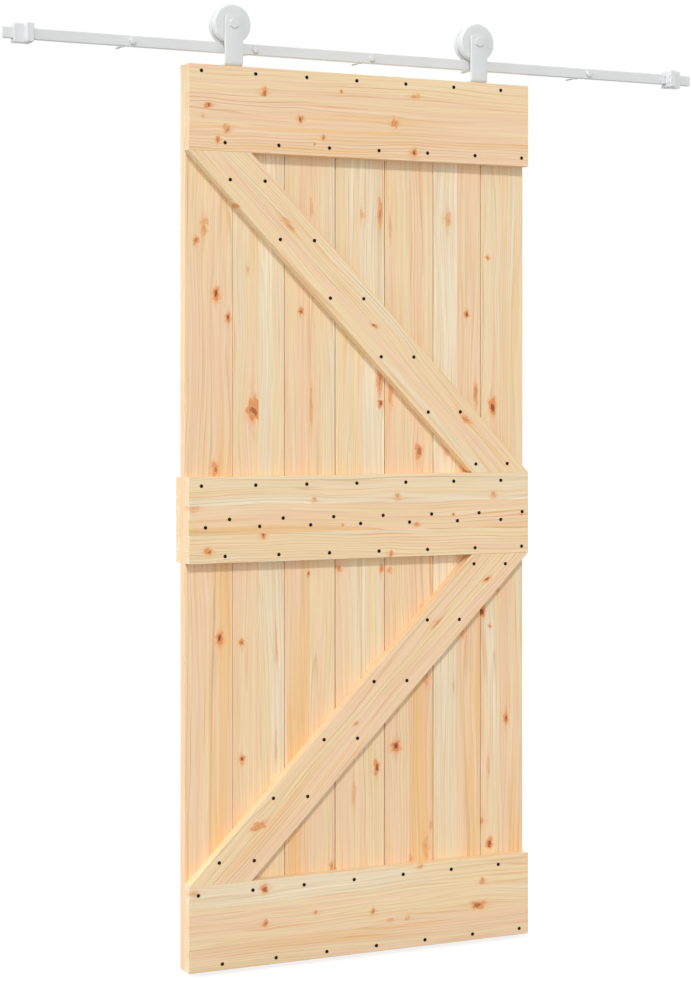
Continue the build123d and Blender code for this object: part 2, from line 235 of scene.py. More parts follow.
# %% Colour bands
def banded(tree, place, bent, warmth):
    """The ramp's colour at the warmth plus wide and narrow noise, with streaks of tan and pale,
    thin lines and fibres over it. Gives that colour, and the fibres for the relief."""
    wide = centred(tree, noise(tree, bent, (16, 0.8, 16)))
    narrow = centred(tree, noise(tree, bent, (62, 1.3, 62)))
    tone = maths(tree, "MULTIPLY_ADD", wide, 1.3, warmth)
    colour = ramp(tree, maths(tree, "ADD", narrow, tone), bands)
    streak = noise(tree, bent, (240, 2, 240))
    colour = mixed(tree, ease(tree, streak, 0.52, 0.74, 0.0, 0.36), colour, tan)
    colour = mixed(tree, ease(tree, streak, 0.3, 0.48, 0.34, 0.0), colour, pale)
    line = noise(tree, bent, (360, 4, 360), 2, 0.6)
    colour = mixed(tree, ease(tree, line, 0.5, 0.68, 0.0, 0.5), colour, tan)
    fibre = noise(tree, place, (900, 9, 900), 3, 0.6)
    colour = mixed(tree, ease(tree, fibre, 0.4, 0.75, 0.0, 0.15), colour, tan)
    return colour, fibre


print("the bands lie at the warmths", list(bands))

# %% [markdown]
# The second layer is the growth lines. The distance from the heart, counted in years, is 0 at
# the start of each year and 1 at its end, and the late wood is the dark last quarter. Noise
# makes the years uneven, and the heart wanders along the board, so the lines run out in points.

# %% Growth lines
year_width = 0.006  # m


def late_wood_at(tree, grain, place, wander, luck, other_luck, figure):
    """How much late wood shows: the last quarter of each year of the distance from the heart,
    times a soft noise, times the strength of the stave's figure."""
    across, along, depth = node(tree, "SeparateXYZ", {0: grain}).outputs
    heart = maths(tree, "MULTIPLY_ADD", luck, 0.12, -0.06)
    side = maths(tree, "SUBTRACT", maths(tree, "MULTIPLY_ADD", wander, 0.05, across), heart)
    deep = maths(tree, "ADD", depth, maths(tree, "MULTIPLY_ADD", other_luck, 0.06, 0.025))
    square = maths(tree, "MULTIPLY_ADD", side, side, maths(tree, "MULTIPLY", deep, deep))
    taper = maths(tree, "MULTIPLY", along, maths(tree, "MULTIPLY_ADD", other_luck, 0.02, -0.01))
    radius = maths(tree, "ADD", maths(tree, "SQRT", square), taper)
    years = maths(tree, "DIVIDE", radius, year_width)
    uneven = noise(tree, place, (30, 1.2, 30))
    year = maths(tree, "FRACT", maths(tree, "MULTIPLY_ADD", uneven, 2.6, years))
    fall = ease(tree, year, 0.93, 1.0, 1.0, 0.0)
    late = maths(tree, "MULTIPLY", ease(tree, year, 0.74, 0.92), fall)
    strength = ease(tree, noise(tree, place, (22, 1.1, 22)), 0.38, 0.62, 0.1, 1.0)
    return maths(tree, "MULTIPLY", late, maths(tree, "MULTIPLY", strength, figure))


print("a year is", year_width * 1000, "mm wide")

# %% [markdown]
# The last layer is the knots. Each has a warm halo, a flame along the grain, an orange body with
# ragged dark rings, and a dark heart. The raggedness is measured in knots, so that a large knot
# is as torn as a small one.


# %% Knots in the wood
def knotted(tree, colour, knot, luck):
    """The colour with the nearest knot over it. The distance from its middle, in knots and made
    ragged by noise, sets the halo, the body, its rings and the heart."""
    knot_x, knot_y, knot_tone = node(tree, "SeparateXYZ", {0: knot}).outputs
    own_cut = maths(tree, "MULTIPLY_ADD", knot_tone, 3.7, luck)
    from_knot = joined(tree, knot_x, knot_y, own_cut)
    coarse = centred(tree, noise(tree, from_knot, (0.8, 0.8, 9), 1))
    torn = centred(tree, noise(tree, from_knot, (2.6, 2.6, 7), 2, 0.6))
    ragged = maths(tree, "MULTIPLY_ADD", coarse, 2.4, torn)
    flat_place = joined(tree, knot_x, knot_y)
    away = node(tree, "VectorMath", {0: flat_place}, operation="LENGTH").outputs["Value"]
    away = maths(tree, "MULTIPLY_ADD", ragged, 0.9, away)
    halo = maths(tree, "MULTIPLY", ease(tree, away, 0.7, 2.2, 0.7, 0.0), knot_tone)
    colour = mixed(tree, halo, colour, knot_halo)
    beside = maths(tree, "ABSOLUTE", maths(tree, "MULTIPLY_ADD", ragged, 0.8, knot_x))
    beyond = ease(tree, maths(tree, "ABSOLUTE", knot_y), 0.8, 4.0, 0.35, 0.0)
    flame = maths(tree, "MULTIPLY", ease(tree, beside, 0.0, 0.9, 1.0, 0.0), beyond)
    colour = mixed(tree, maths(tree, "MULTIPLY", flame, knot_tone), colour, knot_body)
    body = ease(tree, away, 0.8, 1.15, 0.95, 0.0)
    body = maths(tree, "MULTIPLY", body, ease(tree, knot_tone, 0.3, 0.9, 0.3, 1.0))
    body = maths(tree, "MULTIPLY", body, ease(tree, knot_tone, 0.0, 0.1))
    colour = mixed(tree, body, colour, knot_body)
    turns = maths(tree, "MULTIPLY_ADD", torn, 7, maths(tree, "MULTIPLY", away, 7))
    rings = ease(tree, maths(tree, "SINE", turns), 0.25, 1.0, 0.0, 0.65)
    colour = mixed(tree, maths(tree, "MULTIPLY", body, rings), colour, knot_vein)
    dark = ease(tree, knot_tone, 0.45, 0.95)
    centre = maths(tree, "MULTIPLY", ease(tree, away, 0.0, 0.5, 0.9, 0.0), dark)
    return mixed(tree, centre, colour, knot_heart)


print("a knot's heart as a shader takes it:", [round(part, 3) for part in knot_heart[:3]])

# %% [markdown]
# The layers go on each other in that order, with a few thin streaks of resin before the knots.
# Each stave reads the noise at a place of its own, which its random number shifts. Planed wood
# is a little rougher in the soft early wood, and the late wood stands up a hair.


# %% Pine material
def pine_material():
    """The pine: bands, growth lines, resin and knots, from the three attributes of a board."""
    material, tree, shader = new_material("pine", 0.55, 0.3)
    grain = node(tree, "Attribute", attribute_name="grain").outputs["Vector"]
    stave = node(tree, "Attribute", attribute_name="stave").outputs["Vector"]
    knot = node(tree, "Attribute", attribute_name="knot").outputs["Vector"]
    warmth, figure, luck = node(tree, "SeparateXYZ", {0: stave}).outputs
    other_luck = maths(tree, "FRACT", maths(tree, "MULTIPLY", luck, 37))
    shift = on_vectors(tree, "MULTIPLY", joined(tree, luck, other_luck, luck), (31, 17, 23))
    place = on_vectors(tree, "ADD", grain, shift)
    wander = centred(tree, noise(tree, place, (4, 1.6, 4)))
    bent = on_vectors(tree, "ADD", place, joined(tree, maths(tree, "MULTIPLY", wander, 0.05)))

    colour, fibre = banded(tree, place, bent, warmth)
    late = late_wood_at(tree, grain, place, wander, luck, other_luck, figure)
    colour = mixed(tree, late, colour, late_wood)
    resin = ease(tree, noise(tree, bent, (130, 2.6, 130), 1), 0.64, 0.8, 0.0, 0.6)
    colour = mixed(tree, resin, colour, resin_streak)
    plug(tree, shader.inputs["Base Color"], knotted(tree, colour, knot, luck))

    plug(tree, shader.inputs["Roughness"], ease(tree, fibre, 0.3, 0.8, 0.48, 0.64))
    relief = maths(tree, "MULTIPLY_ADD", late, 0.5, maths(tree, "MULTIPLY", fibre, 0.35))
    bumped(tree, shader, relief, 0.35, 0.0004)
    return material


pine = pine_material()
print("pine nodes:", len(pine.node_tree.nodes))

# %% [markdown]
# ## The metal and plastic finishes
# The bar, the hangers and the wheels have a pale grey powder coating: almost white, satin, with
# a very fine orange peel. The nails are black, with a trace of brown. Each finish reads Object
# coordinates, in metres, so that its grain has the same size on every piece.


# %% Metal and plastic materials
def coated(name, colour, spread, roughness, pitch, relief, metallic=0.0, specular=0.5):
    """A coating whose colour and roughness vary a little in soft clouds, the colour by its
    spread, and whose skin is uneven by a relief, in bumps that are a pitch apart."""
    material, tree, shader = new_material(name, roughness, specular, metallic)
    place = node(tree, "TexCoord").outputs["Object"]
    cloud = noise(tree, place, (9, 9, 9), 3)
    dark = tuple(channel * (1 - spread) for channel in colour[:3]) + (1.0,)
    plug(tree, shader.inputs["Base Color"], mixed(tree, ease(tree, cloud, 0.3, 0.7), colour, dark))
    level = ease(tree, cloud, 0.2, 0.8, roughness - 0.05, roughness + 0.06)
    plug(tree, shader.inputs["Roughness"], level)
    bumped(tree, shader, noise(tree, place, (1 / pitch,) * 3), 0.25, relief)
    return material


iron, bronze = paint(40, 22, 12), paint(196, 164, 112)
finishes = {
    "pine": pine,
    "coated_steel": coated("coated_steel", paint(224, 226, 226), 0.03, 0.38, 0.0009, 0.00006),
    "plated_screws": coated("plated_screws", paint(228, 230, 231), 0.05, 0.34, 0.0006, 0.00004),
    "buffer": coated("buffer_plastic", paint(222, 224, 226), 0.02, 0.55, 0.0005, 0.00005),
    "black_iron": coated("black_iron", iron, 0.3, 0.6, 0.0007, 0.0001, specular=0.15),
    "bush": coated("bronze", bronze, 0.1, 0.35, 0.0006, 0.00003, metallic=0.9),
}
print("finishes:", len(finishes))

# %% [markdown]
# ## Helpers for surfaces
# A new piece is a set of points and faces worked out as whole arrays. Blender's own tools could
# model the pieces step by step, but arrays are quick, and they say exactly where each point is.
# The first helper makes the mesh. The second puts it in the scene in place of a CAD node.


# %% Surface helpers
def shell(name, points, *faces):
    """A mesh from points and arrays of faces, with one face in each row of an array."""
    mesh = bpy.data.meshes.new(name)
    mesh.vertices.add(len(points))
    mesh.vertices.foreach_set("co", np.ravel(points).astype(np.float32))
    sizes = np.concatenate([np.full(len(rows), rows.shape[1]) for rows in faces])
    mesh.loops.add(int(sizes.sum()))
    mesh.loops.foreach_set("vertex_index", np.concatenate([rows.ravel() for rows in faces]))
    mesh.polygons.add(len(sizes))
    mesh.polygons.foreach_set("loop_start", np.cumsum(sizes) - sizes)
    mesh.update(calc_edges=True)
    return mesh


def finished(name, mesh, crease=35, bevel=None):
    """Puts a mesh in the scene as the piece that stands for the node of that name. It rides on
    the node's body and takes its finish. Corners sharper than the crease stay sharp, or are
    bevelled."""
    slot = slot_of[name]
    mesh.materials.append(finishes[slot])
    mesh.shade_smooth()
    mesh.set_sharp_from_angle(angle=math.radians(crease))
    piece = bpy.data.objects.new(mesh.name, mesh)
    bpy.context.scene.collection.objects.link(piece)
    if bevel:
        rounding = piece.modifiers.new("bevel", "BEVEL")
        rounding.width = bevel
        rounding.segments = 2
        rounding.limit_method = "ANGLE"
        rounding.angle_limit = math.radians(crease)
    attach(piece, body_of[name])
    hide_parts(name)


print("CAD pieces to finish:", len(slot_of))

# %% [markdown]
# Most pieces are one of two kinds: a block made of cells, or a turned shape. A block's skin is
# what lies between a filled cell and an empty one, so a tongue, a groove or an opening is only a
# matter of which cells are filled.


# %% Block helpers
def block_skin(cells, *lattice):
    """The skin of the filled cells of a lattice: a face lies wherever a filled cell meets an
    empty one, and its corners run anticlockwise as seen from outside. The lattice gives the
    places of the cells' sides on each axis. Gives the skin's points and faces."""
    padded = np.pad(cells, 1)
    size = padded.shape
    square = np.array([(0, 0, 0), (0, 1, 0), (0, 1, 1), (0, 0, 1)])
    corners = []
    for axis in range(3):
        order = [axis, (axis + 1) % 3, (axis + 2) % 3]
        turned_cells = padded.transpose(order)[:, 1:-1, 1:-1].astype(int)
        change = np.diff(turned_cells, axis=0)
        for sign, steps in ((-1, square), (1, square[::-1])):
            corner = np.argwhere(change == sign)[:, None, :] + steps
            corners.append(corner[:, :, np.argsort(order)])
    flat = np.ravel_multi_index(tuple(np.moveaxis(np.concatenate(corners), 2, 0)), size)
    used, faces = np.unique(flat, return_inverse=True)
    places = np.unravel_index(used, size)
    points = np.stack([row[place] for row, place in zip(lattice, places)], axis=1)
    return points, faces.reshape(-1, 4)


def rounded(points, low, high, radius):
    """Rounds a block's edges. Each point is pulled to the block shrunk by the radius and pushed
    out again by the radius, so that a flat face stays and an edge becomes an arc."""
    core = np.clip(points, low, high)
    out = points - core
    reach = np.linalg.norm(out, axis=1, keepdims=True)
    return np.where(reach > radius, core + out * radius / np.maximum(reach, 1e-9), points)


def even_steps(start, end, pitch):
    """Places from start to end, as nearly a pitch apart as whole steps allow, without the end."""
    count = max(1, round(abs(end - start) / pitch))
    return np.linspace(start, end, count, endpoint=False)


def ladder(edges, pitch, radius):
    """Places along one side of a block: close together over the rounded edge at each end, and a
    pitch apart between the edges and seams that are given."""
    arc_steps = radius * (1 - np.tan(np.radians([45, 30, 15])))
    start, end = edges[0], edges[-1]
    stops = [start + radius * 1.25, *edges[1:-1], end - radius * 1.25]
    between = [even_steps(a, b, pitch) for a, b in zip(stops[:-1], stops[1:])]
    head, tail = [*(start + arc_steps), start + radius], [end - radius, *(end - arc_steps[::-1])]
    return np.concatenate([head, *between, stops[-1:], tail])


unit = np.array([0.0, 1.0])
print("faces on a single cell:", len(block_skin(np.ones((1, 1, 1), bool), unit, unit, unit)[1]))

# %% [markdown]
# ## The knots
# Each knot is given by its place on the door, in millimetres from the door's lower left corner,
# its half width across the grain, its half length along it, and how dark it is. The eye finds
# knots at once, so they are placed where this door has them.

# %% Knots
knots = {
    "top_rail": [
        (188, 2042, 12, 7, 0.7), (48, 2006, 7, 9, 0.8), (282, 1986, 9, 5, 0.9),
        (95, 1952, 10, 8, 0.6), (71, 1926, 8, 5, 0.8), (341, 1945, 6, 4, 0.7),
        (388, 2056, 4, 3, 0.8), (318, 1928, 3, 2.5, 0.7), (585, 2055, 6, 13, 0.5),
        (530, 1988, 10, 7, 0.7), (582, 1918, 9, 8, 0.9), (35, 1980, 5, 4, 0.4),
    ],
    "middle_rail": [
        (538, 1090, 9, 6, 0.5), (318, 1087, 7, 6, 0.5), (14, 1075, 11, 11, 0.35),
        (690, 1043, 4, 3, 0.8), (590, 1021, 6, 8, 0.6), (187, 1007, 9, 6, 0.8),
        (49, 971, 8, 8, 0.9), (802, 1089, 9, 6, 0.5), (519, 951, 8, 5, 0.7),
        (392, 1025, 4, 3, 0.6), (880, 1038, 3, 3, 0.6),
    ],
    "bottom_rail": [
        (598, 192, 6, 7, 0.5), (771, 142, 8, 7, 0.6), (191, 180, 9, 9, 0.8),
        (759, 85, 10, 15, 0.75), (471, 97, 7, 5, 0.7), (321, 110, 5, 4, 0.6),
        (563, 69, 8, 6, 0.5), (519, 72, 4, 9, 0.4), (190, 97, 8, 7, 0.7), (14, 183, 9, 11, 0.35),
    ],
    "back_rail": [(150, 1010, 9, 7, 0.8), (420, 1095, 7, 6, 0.6), (700, 990, 10, 9, 0.8)],
    "plank_1": [
        (49, 1723, 10, 19, 0.5), (28, 1691, 7, 9, 0.7), (79, 1568, 8, 14, 1.0),
        (109, 1514, 6, 10, 1.0), (75, 1162, 8, 15, 0.7), (88, 765, 9, 13, 1.0),
    ],
    "plank_2": [
        (172, 1296, 15, 26, 0.8), (142, 754, 6, 7, 0.8), (231, 736, 4, 38, 0.3),
        (231, 504, 4, 34, 0.3), (143, 481, 7, 9, 0.9), (159, 1630, 5, 9, 0.35),
    ],
    "plank_3": [
        (295, 1532, 6, 8, 0.9), (321, 1311, 7, 42, 0.5), (316, 909, 4, 6, 0.8),
        (376, 208, 6, 9, 0.7), (322, 1777, 6, 24, 0.35),
    ],
    "plank_4": [
        (504, 1775, 7, 36, 0.6), (453, 1767, 10, 12, 0.4), (503, 1372, 9, 40, 0.6),
        (505, 1314, 7, 10, 0.8), (395, 920, 7, 8, 0.6), (507, 913, 5, 10, 0.9),
        (495, 435, 7, 16, 0.8), (435, 378, 5, 32, 0.35),
    ],
    "plank_5": [
        (533, 1332, 6, 24, 0.5), (532, 1737, 4, 26, 0.35), (609, 1196, 10, 16, 0.7),
        (618, 816, 6, 8, 0.5), (629, 649, 13, 20, 0.45), (548, 482, 11, 12, 0.9),
        (642, 285, 4, 12, 0.5), (630, 232, 9, 26, 0.45), (587, 209, 6, 8, 0.5),
        (530, 910, 7, 7, 0.5),
    ],
    "plank_6": [
        (689, 1763, 10, 16, 0.45), (742, 1532, 5, 8, 1.0), (767, 1337, 6, 22, 0.6),
        (687, 1208, 14, 20, 0.45), (740, 1157, 10, 14, 0.6), (730, 750, 10, 13, 0.4),
        (706, 620, 3, 15, 0.35),
    ],
    "plank_7": [
        (801, 1673, 5, 5, 0.7), (815, 1307, 9, 17, 0.9), (785, 802, 9, 12, 0.9),
        (852, 534, 6, 14, 0.9), (830, 852, 5, 8, 0.5), (807, 763, 4, 4, 0.7),
        (783, 284, 9, 11, 0.5), (806, 227, 9, 10, 0.8), (803, 411, 4, 36, 0.35),
    ],
    "upper_brace": [
        (251, 1734, 8, 22, 0.5), (118, 1775, 5, 6, 0.8), (474, 1501, 5, 6, 0.9),
        (724, 1274, 8, 14, 0.6),
    ],
    "lower_brace": [
        (783, 882, 6, 8, 0.8), (649, 781, 9, 17, 0.6), (425, 550, 5, 6, 0.6),
        (175, 327, 10, 12, 0.7),
    ],
}
print("knots:", sum(len(found) for found in knots.values()))

# %% [markdown]
# ## The staves
# Each board is glued up from two or three staves, and each stave comes from another tree. A
# stave's look is two numbers. The first is how warm it is: 0 is a greyish cream, 0.35 yellowish,
# 0.65 pink and 1 orange. The second is how strongly its growth lines show.

# %% Staves
staves = {
    "plank_1": [(0.6, 0.5), (0.72, 0.55)],
    "plank_2": [(0.5, 0.25), (0.3, 0.25)],
    "plank_3": [(0.65, 0.35), (0.4, 0.5)],
    "plank_4": [(0.35, 0.3), (0.3, 0.5)],
    "plank_5": [(0.45, 0.4), (0.65, 0.6)],
    "plank_6": [(0.25, 0.4), (0.65, 0.35)],
    "plank_7": [(0.48, 0.6), (0.5, 0.45)],
    "top_rail": [(0.62, 0.7), (0.6, 0.9), (0.5, 0.7)],
    "middle_rail": [(0.5, 0.6), (0.65, 0.7), (0.3, 0.7)],
    "bottom_rail": [(0.6, 0.45), (0.5, 0.35), (0.45, 0.4)],
    "back_rail": [(0.4, 0.7), (0.5, 0.7), (0.3, 0.7)],
    "upper_brace": [(0.45, 0.5), (0.5, 0.6)],
    "lower_brace": [(0.5, 0.5), (0.6, 0.6)],
}
print("staves:", sum(len(looks) for looks in staves.values()))

# %% [markdown]
# ## The boards
# A board is a block with rounded edges, cut into small cells. The cells let the mesh carry the
# grain: near a knot the place across the grain is squeezed towards the knot's middle, as water
# flows round a post, and the growth lines then bend round it by themselves. Each corner of a
# face holds its own values, so that the colours can change sharply at the glue line between two
# staves.

# %% Grain round the knots
door_corner = box_of("plank_1")[0, [0, 2]]
far_away = 99.0  # where no knot is near
flow_length = 1.8  # of the bent grain round a knot, in knots


def knot_flow(name, corner, stave, seams, turn, scale):
    """The place in the grain and the place relative to the nearest knot, at each corner of each
    face. Near a knot the place across is pulled to the knot's middle, by 1 / (1 + distance
    squared) of the way. A knot bends the grain of its own stave only."""
    lines = corner.copy()
    centre = corner.mean(axis=1)[:, :2]
    nearest = np.full(len(centre), far_away)
    from_knot = np.tile([far_away, far_away, 0.0], (*corner.shape[:2], 1))
    for x, z, wide, long, tone in knots[name]:
        room = np.array([x / 1000 + door_corner[0], 0, z / 1000 + door_corner[1]])
        here = room @ np.linalg.inv(turn)
        own = np.clip(np.searchsorted(seams, here[0]) - 1, 0, len(seams) - 2)
        inside = stave == own
        size = np.array([wide, long]) / 1000 / scale[:2]
        apart = (corner[..., :2] - here[:2]) / size
        pull = 1 / (1 + np.hypot(apart[..., 0], apart[..., 1] / flow_length) ** 2)
        lines[..., 0] -= inside[:, None] * (corner[..., 0] - here[0]) * pull
        away = np.linalg.norm((centre - here[:2]) / size, axis=1)
        closer = inside & (away < nearest)
        nearest[closer] = away[closer]
        from_knot[closer] = np.dstack([apart, np.full(apart.shape[:2], tone)])[closer]
    return lines, from_knot


print("lower left corner of the door, m:", door_corner.round(4))

# %% [markdown]
# One function makes every board. It takes the places where the block is cut, says which way the
# grain lies in the room, and writes the three attributes that the pine reads.

# %% One board
random = np.random.default_rng(4)
cell_across, cell_along, cell_deep = 0.006, 0.008, 0.007
end_warmth = 0.32  # end grain is an even cream


def stave_looks(name, corner, along, stave, painted_foot_shade):
    """The stave's warmth, figure and random number, at each corner of each face. The warmth
    rises evenly towards the foot of the board and falls towards its head, a painted shade that
    makes the foot warmer and darker, and the end grain has a warmth of its own."""
    looks = np.column_stack([staves[name], random.random(len(staves[name]))])[stave]
    looks = np.repeat(looks[:, None], 4, axis=1)
    # Painted shade: the warmth rises towards the foot, which looks warmer and darker.
    looks[..., 0] += painted_foot_shade * np.interp(corner[..., 1], along[[0, -1]], (1, -1))
    looks[np.ptp(corner[..., 1], axis=1) < 1e-6, :, 0] = end_warmth
    return looks


def wooden_board(name, lattice, easing, seams, turn, cells=None, scale=np.ones(3), painted_foot_shade=0):
    """One board. Its lattice of places across, along and deep in the wood becomes a skin of
    cells, eased between a low and a high corner by a radius. The turn, three rows, says where
    those three directions lie in the room."""
    across, along, depth = lattice
    if cells is None:
        cells = np.ones((len(across) - 1, len(depth) - 1), bool)
    points, faces = block_skin(np.repeat(cells[:, None, :], len(along) - 1, axis=1), *lattice)
    wood = rounded(points, *easing)
    if np.linalg.det(turn) < 0:
        faces = faces[:, ::-1]
    mesh = shell(name, wood @ turn, faces)

    corner = wood[faces]
    stave = np.searchsorted(seams[1:-1], corner.mean(axis=1)[:, 0])
    lines, from_knot = knot_flow(name, corner, stave, seams, turn, scale)
    stave_middle = (seams[:-1] + seams[1:]) / 2
    lines[..., 0] -= stave_middle[stave][:, None]
    lines[..., 2] -= depth.mean()
    looks = stave_looks(name, corner, along, stave, painted_foot_shade)
    for label, values in (("grain", lines * scale), ("stave", looks), ("knot", from_knot)):
        attribute = mesh.attributes.new(label, "FLOAT_VECTOR", "CORNER")
        attribute.data.foreach_set("vector", np.ravel(values).astype(np.float32))
    finished(name, mesh, crease=50)


print("cells, mm:", cell_across * 1000, "by", cell_along * 1000, "by", cell_deep * 1000)

# %% [markdown]
# The planks are tongued and grooved. Their section is drawn in cells: the tongue is a cell that
# stands out on the right, the groove is a cell that is missing on the left. The four long edges
# are eased, which gives the fine V line at each joint.

# %% Planks
upright = np.array([[1.0, 0, 0], [0, 0, 1], [0, 1, 0]])
plank_ease, tongue, groove, tongue_half, groove_half = 0.002, 0.008, 0.0079, 0.004, 0.0044
# Painted shade: a plank's colour is warmer and darker towards its foot, as if less light reached
# it there.
plank_painted_foot_shade = 0.22  # by which a plank is warmer at its foot than at its middle
gaps = np.array([0, 0.8, 1.4, 2.2, 2.0, 1.7, 1.7]) / 1000  # left of each plank, as it shrank
for number, gap in enumerate(gaps, 1):
    name = f"plank_{number}"
    low, high = box_of(name)
    first, last = number == 1, number == len(gaps)
    left = low[0] + gap
    right = high[0] if last else high[0] - tongue
    middle = (low[1] + high[1]) / 2
    seams = np.linspace(left, right, 3)
    across = ladder(seams, cell_across, plank_ease)
    if not first:
        across = np.unique(np.append(across, low[0] + groove))
    if not last:
        across = np.append(across, high[0])
    edges = ladder([low[1], high[1]], cell_deep, plank_ease)
    inner = middle + np.array([-groove_half, -tongue_half, tongue_half, groove_half])
    depth = np.unique(np.concatenate([edges[:5], inner, edges[-5:]]))
    along = np.append(even_steps(low[2], high[2], cell_along), high[2])

    cell_x = (across[:-1] + across[1:]) / 2
    cell_y = abs((depth[:-1] + depth[1:]) / 2 - middle)
    cells = np.ones((len(cell_x), len(cell_y)), bool)
    if not last:
        cells[cell_x > right] = cell_y < tongue_half
    if not first:
        cells[np.ix_(cell_x < low[0] + groove, cell_y < groove_half)] = False
    shrink_low = np.array([left, -np.inf, low[1]]) + plank_ease
    shrink_high = np.array([right if last else np.inf, np.inf, high[1]]) - plank_ease
    easing = (shrink_low, shrink_high, plank_ease)
    wooden_board(name, (across, along, depth), easing, seams, upright, cells, painted_foot_shade=plank_painted_foot_shade)
print("planks:", len(gaps))

# %% [markdown]
# The rails lie level, so their grain does too. They are glued up from three staves, and all
# their edges are eased a little.

# %% Rails
level = np.array([[0, 0, 1.0], [1, 0, 0], [0, 1, 0]])
rail_ease = 0.0012
for name in ("top_rail", "middle_rail", "bottom_rail", "back_rail"):
    low, high = box_of(name)[:, [2, 0, 1]]  # across, along and deep
    seams = np.linspace(low[0], high[0], 4)
    across = ladder(seams, cell_across, rail_ease)
    along = ladder([low[1], high[1]], cell_along, rail_ease)
    depth = ladder([low[2], high[2]], cell_deep, rail_ease)
    easing = (low + rail_ease, high - rail_ease, rail_ease)
    wooden_board(name, (across, along, depth), easing, seams, level)
print("rails: 4")

# %% [markdown]
# The braces run aslant and are cut level at both ends. They are made as upright blocks and
# sheared, which keeps the cuts level and turns the grain along the brace.

# %% Braces
brace_cut, brace_seams = 0.157, np.array([0, 0.45, 1])
for name, falls_right in (("upper_brace", True), ("lower_brace", False)):
    low, high = box_of(name)
    run, rise = high[0] - low[0] - brace_cut, high[2] - low[2]
    slope = (-run if falls_right else run) / rise
    start = high[0] - brace_cut if falls_right else low[0]
    slant = math.hypot(slope, 1)
    aslant = np.array([[1.0, 0, 0], [slope, 0, 1], [0, 1, 0]])
    seams = start - slope * low[2] + brace_seams * brace_cut
    across = ladder(seams, cell_across * slant, rail_ease)
    along = np.append(even_steps(low[2], high[2], cell_along / slant), high[2])
    depth = ladder([low[1], high[1]], cell_deep, rail_ease)
    shrink_low = np.array([seams[0], -np.inf, low[1]]) + rail_ease
    shrink_high = np.array([seams[-1], np.inf, high[1]]) - rail_ease
    easing, scale = (shrink_low, shrink_high, rail_ease), np.array([1 / slant, slant, 1])
    wooden_board(name, (across, along, depth), easing, seams, aslant, scale=scale)
    print(name, "leans by", round(math.degrees(math.atan(slope)), 1), "degrees")

# %% [markdown]
# ## Turned pieces
# A turned piece is a profile carried round an axis. The profile gives radius and height, and the
# two parameters of the surface are the step along the profile and the angle. A row's radius or
# height may itself change with the angle, which makes a hexagon or a screw thread. Where the
# profile meets the axis it closes in a single point.

# %% Turned surfaces
to_room = np.array([[1.0, 0, 0], [0, 0, 1], [0, -1, 0]])  # the turned axis Z becomes -Y


def turned(rows, sides, ring=False):
    """Rows of (radius, height) carried round the Z axis, each a number or a value per side. A
    ring's rows meet again. Any other rows start and end on the axis, at a single point."""
    angle = np.linspace(0, 2 * math.pi, sides, endpoint=False)
    table = np.array([[np.broadcast_to(value, sides) for value in row] for row in rows])
    inner = table if ring else table[1:-1]
    radius, height = inner[:, 0], inner[:, 1]
    points = np.stack([radius * np.cos(angle), radius * np.sin(angle), height], axis=2)
    points = points.reshape(-1, 3)
    count = len(inner)
    turn = np.arange(sides)
    beside = (turn + 1) % sides
    here = np.arange(count if ring else count - 1)[:, None] * sides
    after = (here + sides) % (count * sides)
    quads = np.stack([here + turn, after + turn, after + beside, here + beside], axis=2)
    quads = quads.reshape(-1, 4)
    if ring:
        return points, outward(points, [quads])
    start, end = len(points), len(points) + 1
    points = np.vstack([points, [0, 0, table[0, 1, 0]], [0, 0, table[-1, 1, 0]]])
    last_row = (count - 1) * sides
    cap = np.stack([np.full(sides, start), turn, beside], axis=1)
    base = np.stack([last_row + turn, np.full(sides, end), last_row + beside], axis=1)
    return points, outward(points, [quads, cap, base])


def outward(points, faces):
    """Turns the faces round if the volume that they close comes out negative."""
    volume = 0.0
    for rows in faces:
        corners = points[rows]
        for step in range(1, rows.shape[1] - 1):
            cross = np.cross(corners[:, step], corners[:, step + 1])
            volume += (corners[:, 0] * cross).sum()
    return [rows[:, ::-1] for rows in faces] if volume < 0 else faces


def copies(points, faces, places):
    """The same shape at several places, as one set of points and faces."""
    many = (points[None] + np.array(places)[:, None]).reshape(-1, 3)
    offsets = np.arange(len(places))[:, None, None] * len(points)
    return many, [(rows[None] + offsets).reshape(-1, rows.shape[1]) for rows in faces]


def placed(name, rows, places, sides=48, ring=False, axes=to_room, crease=25):
    """Turns a shape, sets it at each place and puts it in the scene for the node of its name."""
    points, faces = turned(rows, sides, ring)
    points, faces = copies(points @ axes, faces, places)
    finished(name, shell(name, points, *faces), crease)


print("a turned cone of 8 sides has", len(turned([(0, 1), (1, 0), (0, 0)], 8)[0]), "points")

# %% [markdown]
# ## The nails
# The nails have small black domed heads that sit on the wood. The CAD heads are six-sided, so a
# turned dome stands for them, on a round shank that thins to a point inside the wood. The places
# are read from the CAD heads, which keeps every nail where it goes through a board.

# %% Nails
nail_radius, nail_height, nail_shank = 0.0045, 0.001, 0.0015
head_reach = 0.0085  # the corners of one CAD head lie nearer to each other than this


def head_places(name):
    """The middle of each CAD head, as (x, z): half way between the extremes of the corners on
    its front face."""
    vertices = nodes[name].data.vertices
    corners = np.empty(3 * len(vertices), np.float32)
    vertices.foreach_get("co", corners)
    corners = corners.reshape(-1, 3).astype(float)
    rim = np.round(corners[corners[:, 1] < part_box(name)[0][1] + 1e-5][:, [0, 2]], 6)
    places = []
    while len(rim):
        near = np.hypot(*(rim - rim[0]).T) < head_reach
        places.append((rim[near].min(0) + rim[near].max(0)) / 2)
        rim = rim[~near]
    return places


